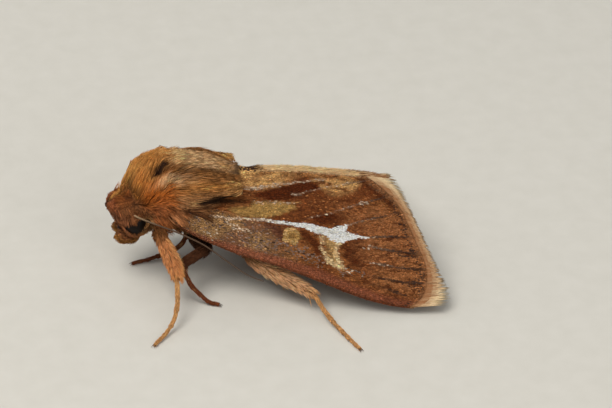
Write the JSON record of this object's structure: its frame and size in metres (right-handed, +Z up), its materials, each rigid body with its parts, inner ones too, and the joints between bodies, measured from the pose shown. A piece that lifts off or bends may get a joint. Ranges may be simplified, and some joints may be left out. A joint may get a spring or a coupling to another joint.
{
  "type": "antler moth",
  "caption": "Life-size model of a resting brown moth with furry body, roof-folded patterned wings and splayed legs.",
  "frame": {"origin": "bottom centre of the whole moth's bounding box, on the floor the feet stand on", "axes": "+Z up, head towards -Y, the moth's left side towards +X"},
  "size_m": [0.0164, 0.0158, 0.0068],
  "materials": {
    "fur": "orange-brown hair-like scales, matt with a soft sheen",
    "belly": "short brown hair",
    "wing": "thin membrane covered with overlapping red-brown scales",
    "hindwing": "thin membrane covered with grey-buff scales",
    "eye": "glossy near-black faceted surface",
    "antenna": "fine ringed thread of scaled segments",
    "palp": "short golden-brown hair",
    "leg": "tan hair and scales"
  },
  "bodies": {
    "root": {"abdomen": "belly", "antenna_left": "antenna", "antenna_right": "antenna", "collar": "fur", "eye_left": "eye", "eye_right": "eye", "femur_front_left": "leg", "femur_front_right": "leg", "femur_hind_left": "leg", "femur_hind_right": "leg", "femur_mid_left": "leg", "femur_mid_right": "leg", "forewing_left": "wing", "forewing_right": "wing", "head": "fur", "hindwing_left": "hindwing", "hindwing_right": "hindwing", "palp_left": "palp", "palp_right": "palp", "tarsus_front_left": "leg", "tarsus_front_right": "leg", "tarsus_hind_left": "leg", "tarsus_hind_right": "leg", "tarsus_mid_left": "leg", "tarsus_mid_right": "leg", "tegula_left": "fur", "tegula_right": "fur", "thorax": "fur", "tibia_front_left": "leg", "tibia_front_right": "leg", "tibia_hind_left": "leg", "tibia_hind_right": "leg", "tibia_mid_left": "leg", "tibia_mid_right": "leg"}
  },
  "joints": []
}
